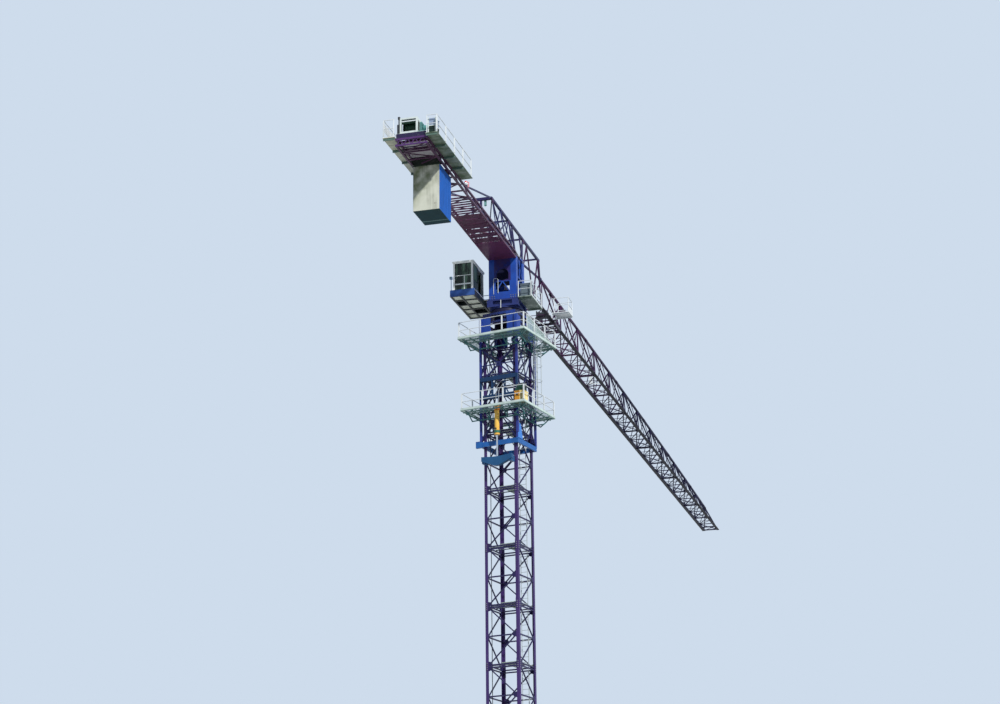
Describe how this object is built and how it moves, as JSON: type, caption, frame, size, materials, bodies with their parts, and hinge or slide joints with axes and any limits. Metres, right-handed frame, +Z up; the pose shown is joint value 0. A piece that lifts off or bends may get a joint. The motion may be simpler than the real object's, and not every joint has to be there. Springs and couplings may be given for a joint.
{
  "type": "tower crane, 1:10 scale model",
  "caption": "Flat-top tower crane, a 1:10 scale model: lattice mast with climbing cage, slewing upper works, long jib with trolley, counter-jib, cab and counterweight.",
  "frame": {"origin": "on the mast axis at the underside of the fixing feet, the flat face that is bolted down", "axes": "+X along the jib away from the mast, +Y to the left of the jib, where the cab is, +Z up the mast"},
  "size_m": [8.52, 0.5141, 4.632],
  "materials": {
    "mast_plum": "satin",
    "jib_plum": "satin",
    "galvanized": "galvanized",
    "grating": "galvanized",
    "cage_blue": "satin",
    "tower_blue": "satin",
    "rail_white": "satin",
    "unit_yellow": "gloss",
    "rod_chrome": "polished",
    "cab_white": "gloss",
    "cab_glass": "tinted",
    "cabinet_grey": "satin",
    "concrete": "cast",
    "winch_green": "satin",
    "trolley_dark": "satin"
  },
  "bodies": {
    "mast": {"fixing_feet": "mast_plum", "mast_section_1": "mast_plum", "mast_section_2": "mast_plum", "mast_section_3": "mast_plum", "mast_section_4": "mast_plum", "mast_section_5": "mast_plum", "mast_section_6": "mast_plum", "mast_section_7": "mast_plum", "mast_section_8": "mast_plum", "mast_section_9": "mast_plum", "mast_section_10": "mast_plum", "mast_section_11": "mast_plum", "mast_section_12": "mast_plum", "ladder": "galvanized", "rest_platforms": "grating", "climbing_cage": "cage_blue", "mid_platform": "grating", "upper_platform": "grating", "power_unit": "unit_yellow", "cylinder_barrel": "unit_yellow", "slewing_support": "tower_blue"},
    "upper_works": {"turntable": "tower_blue", "tower": "tower_blue", "root_truss": "jib_plum", "jib_section_1": "jib_plum", "jib_section_2": "jib_plum", "jib_section_3": "jib_plum", "jib_section_4": "jib_plum", "jib_section_5": "jib_plum", "jib_section_6": "jib_plum", "jib_section_7": "jib_plum", "cab_shell": "cab_white", "cab_glass": "cab_glass", "cab_base": "tower_blue", "basket": "rail_white", "cabinet": "cabinet_grey", "counter_jib_frame": "jib_plum", "walkways": "grating", "counterweight": "concrete", "hoist_winch": "winch_green", "jib_side_platform": "rail_white"},
    "climber": {"cylinder_rod": "rod_chrome", "crosshead": "cage_blue"},
    "trolley": {"trolley": "trolley_dark", "hook_block": "trolley_dark"}
  },
  "joints": [
    {"name": "slew", "type": "hinge", "parent": "mast", "child": "upper_works", "pos_m": [0, 0, 4.1], "axis": [0, 0, 1], "continuous": true},
    {"name": "trolley_travel", "type": "slide", "parent": "upper_works", "child": "trolley", "axis": [1, 0, 0], "range_m": [-0.5, 5.65]},
    {"name": "climb", "type": "slide", "parent": "mast", "child": "climber", "axis": [0, 0, -1], "range_m": [-0.055, 0.065]}
  ]
}
